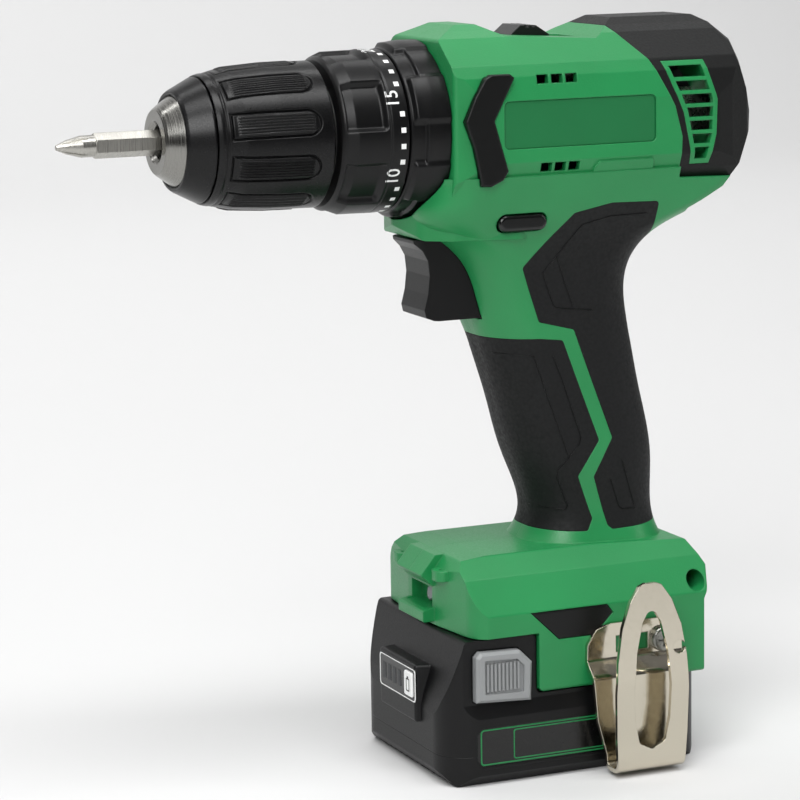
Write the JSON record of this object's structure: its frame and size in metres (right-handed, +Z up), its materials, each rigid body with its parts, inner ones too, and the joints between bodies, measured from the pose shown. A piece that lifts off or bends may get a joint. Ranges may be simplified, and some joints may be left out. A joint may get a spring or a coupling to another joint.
{
  "type": "cordless drill",
  "caption": "Pistol-grip cordless hammer drill with keyless chuck, clutch and mode rings, trigger, slide-on battery and steel belt hook.",
  "frame": {"origin": "on the battery's flat base, on the tool's middle plane, under the middle of the foot", "axes": "+Z up, the bit points along -X, -Y is the side with the belt hook"},
  "size_m": [0.2184, 0.0806, 0.2226],
  "materials": {
    "green_shell": "moulded glass-filled nylon, fine spark-eroded texture, satin",
    "dark_green_plate": "moulded plate, fine matte texture",
    "black_shell": "moulded ABS, coarse spark-eroded texture",
    "bumper_rubber": "moulded soft elastomer, smooth satin",
    "grip_rubber": "moulded-on soft elastomer, leather-like texture",
    "zinc_screw": "zinc-plated steel",
    "lamp_lens": "clear polycarbonate lens",
    "chuck_steel": "turned steel, fine concentric lines",
    "chuck_plastic": "glass-filled nylon, satin",
    "ring_plastic": "glass-filled nylon, satin",
    "gear_steel": "hardened and ground steel",
    "bit_steel": "satin nickel-plated tool steel",
    "gearbox_plastic": "glass-filled nylon",
    "spring_steel": "drawn spring wire",
    "motor_steel": "zinc-plated deep-drawn steel",
    "magnet_ferrite": "sintered ferrite",
    "rotor_iron": "stacked iron sheet with copper windings",
    "brush_carbon": "pressed carbon",
    "trigger_plastic": "moulded nylon, satin",
    "gloss_black": "polished moulded plastic",
    "selector_plastic": "moulded acetal, satin",
    "battery_plastic": "moulded ABS, semi-gloss fine texture",
    "label_film": "printed polyester film",
    "latch_grey": "moulded acetal, satin",
    "gauge_film": "printed polyester film",
    "gauge_white": "moulded translucent plastic",
    "cell_sleeve": "shrink sleeve",
    "circuit_board": "glass-epoxy board",
    "contact_brass": "tinned brass",
    "nickel_plate": "bright nickel-plated spring steel sheet"
  },
  "bodies": {
    "housing": {"housing_left": "green_shell", "housing_right": "green_shell", "rear_cap": "black_shell", "vent_grilles": "green_shell", "name_plates": "dark_green_plate", "side_bumpers": "bumper_rubber", "foot_pads": "bumper_rubber", "front_grip": "grip_rubber", "rear_grip": "grip_rubber", "housing_screws": "zinc_screw", "led_lamp": "lamp_lens", "gearbox_case": "gearbox_plastic", "gearbox_plate": "gear_steel", "spindle_bearings": "gear_steel", "retaining_ring": "gear_steel", "clutch_spring": "spring_steel", "hammer_disc_fixed": "gear_steel", "ring_gear": "gear_steel", "motor_can": "motor_steel", "motor_magnets": "magnet_ferrite", "motor_end_cap": "gearbox_plastic", "motor_brushes": "brush_carbon", "trigger_spring": "spring_steel", "switch_body": "gearbox_plastic", "terminal_block": "gearbox_plastic", "terminal_blades": "contact_brass", "belt_hook": "nickel_plate", "hook_screw": "zinc_screw"},
    "spindle": {"spindle": "gear_steel", "chuck_body": "chuck_steel", "chuck_collar": "chuck_plastic", "hammer_disc_spindle": "gear_steel"},
    "sleeve": {"chuck_sleeve": "chuck_plastic", "chuck_nut": "gear_steel"},
    "jaw_1": {"chuck_jaw_1": "gear_steel"},
    "jaw_2": {"chuck_jaw_2": "gear_steel"},
    "jaw_3": {"chuck_jaw_3": "gear_steel"},
    "bit": {"screwdriver_bit": "bit_steel"},
    "clutch_ring": {"clutch_ring": "ring_plastic"},
    "clutch_nut": {"clutch_nut": "gearbox_plastic"},
    "mode_ring": {"mode_ring": "ring_plastic"},
    "planet_1": {"planet_gear_1": "gear_steel"},
    "planet_2": {"planet_gear_2": "gear_steel"},
    "planet_3": {"planet_gear_3": "gear_steel"},
    "rotor": {"motor_rotor": "rotor_iron", "motor_pinion": "gear_steel", "motor_fan": "gearbox_plastic"},
    "trigger": {"trigger": "trigger_plastic"},
    "direction_selector": {"direction_selector": "gloss_black"},
    "speed_selector": {"speed_selector": "selector_plastic"},
    "battery": {"battery_lower_case": "battery_plastic", "battery_upper_case": "battery_plastic", "battery_labels": "label_film", "gauge_panel": "gauge_film", "battery_cells": "cell_sleeve", "battery_board": "circuit_board", "battery_terminals": "contact_brass"},
    "latch_left": {"latch_button_left": "latch_grey"},
    "latch_right": {"latch_button_right": "latch_grey"},
    "gauge_button": {"gauge_button": "gauge_white"}
  },
  "joints": [
    {"name": "spindle_spin", "type": "hinge", "parent": "housing", "child": "spindle", "pos_m": [-0.05, 0, 0.192], "axis": [1, 0, 0], "continuous": true},
    {"name": "sleeve_turn", "type": "hinge", "parent": "spindle", "child": "sleeve", "pos_m": [-0.09, 0, 0.192], "axis": [1, 0, 0], "range_deg": [0, 1632]},
    {"name": "bit_slide", "type": "slide", "parent": "spindle", "child": "bit", "axis": [-1, 0, 0], "range_m": [0, 0.04]},
    {"name": "clutch_ring_turn", "type": "hinge", "parent": "housing", "child": "clutch_ring", "pos_m": [-0.061, 0, 0.192], "axis": [1, 0, 0], "range_deg": [-200, 100]},
    {"name": "clutch_nut_slide", "type": "slide", "parent": "housing", "child": "clutch_nut", "axis": [1, 0, 0], "range_m": [-0.0015, 0.001], "deforming": ["clutch_spring"]},
    {"name": "mode_ring_turn", "type": "hinge", "parent": "housing", "child": "mode_ring", "pos_m": [-0.045, 0, 0.192], "axis": [1, 0, 0], "range_deg": [-35, 35]},
    {"name": "motor_spin", "type": "hinge", "parent": "housing", "child": "rotor", "pos_m": [0.03, 0, 0.192], "axis": [1, 0, 0], "continuous": true},
    {"name": "trigger_pull", "type": "slide", "parent": "housing", "child": "trigger", "axis": [1, 0, 0], "range_m": [0, 0.006], "stiffness_N_per_m": 900, "springref_m": -0.003, "deforming": ["trigger_spring"]},
    {"name": "direction_push", "type": "slide", "parent": "housing", "child": "direction_selector", "axis": [0, 1, 0], "range_m": [-0.0025, 0.0025]},
    {"name": "speed_slide", "type": "slide", "parent": "housing", "child": "speed_selector", "axis": [1, 0, 0], "range_m": [0, 0.0075]},
    {"name": "battery_slide", "type": "slide", "parent": "housing", "child": "battery", "axis": [-1, 0, 0], "range_m": [0, 0.06]},
    {"name": "latch_left_press", "type": "slide", "parent": "battery", "child": "latch_left", "axis": [0, 1, 0], "range_m": [0, 0.002], "stiffness_N_per_m": 1500, "springref_m": -0.001},
    {"name": "latch_right_press", "type": "slide", "parent": "battery", "child": "latch_right", "axis": [0, -1, 0], "range_m": [0, 0.002], "stiffness_N_per_m": 1500, "springref_m": -0.001},
    {"name": "gauge_button_press", "type": "slide", "parent": "battery", "child": "gauge_button", "axis": [1, 0, 0], "range_m": [0, 0.0007], "stiffness_N_per_m": 900, "springref_m": -0.0004},
    {"name": "jaw_1_slide", "type": "slide", "parent": "spindle", "child": "jaw_1", "axis": [0.9659, -0.2588, 0], "range_m": [0, 0.0068]},
    {"name": "planet_1_spin", "type": "hinge", "parent": "spindle", "child": "planet_1", "pos_m": [-0.016, 0, 0.201], "axis": [1, 0, 0], "continuous": true},
    {"name": "jaw_2_slide", "type": "slide", "parent": "spindle", "child": "jaw_2", "axis": [0.9659, 0.1294, -0.2241], "range_m": [0, 0.0068]},
    {"name": "planet_2_spin", "type": "hinge", "parent": "spindle", "child": "planet_2", "pos_m": [-0.016, -0.00779, 0.1875], "axis": [1, 0, 0], "continuous": true},
    {"name": "jaw_3_slide", "type": "slide", "parent": "spindle", "child": "jaw_3", "axis": [0.9659, 0.1294, 0.2241], "range_m": [0, 0.0068]},
    {"name": "planet_3_spin", "type": "hinge", "parent": "spindle", "child": "planet_3", "pos_m": [-0.016, 0.00779, 0.1875], "axis": [1, 0, 0], "continuous": true}
  ],
  "couplings": [
    {"joint": "motor_spin", "follows": "spindle_spin", "ratio": 5},
    {"joint": "planet_1_spin", "follows": "spindle_spin", "ratio": -2.6667},
    {"joint": "jaw_1_slide", "follows": "sleeve_turn", "m_per_rad": 0.00023873},
    {"joint": "planet_2_spin", "follows": "spindle_spin", "ratio": -2.6667},
    {"joint": "jaw_2_slide", "follows": "sleeve_turn", "m_per_rad": 0.00023873},
    {"joint": "planet_3_spin", "follows": "spindle_spin", "ratio": -2.6667},
    {"joint": "jaw_3_slide", "follows": "sleeve_turn", "m_per_rad": 0.00023873},
    {"joint": "clutch_nut_slide", "follows": "clutch_ring_turn", "m_per_rad": 0.00040107}
  ]
}
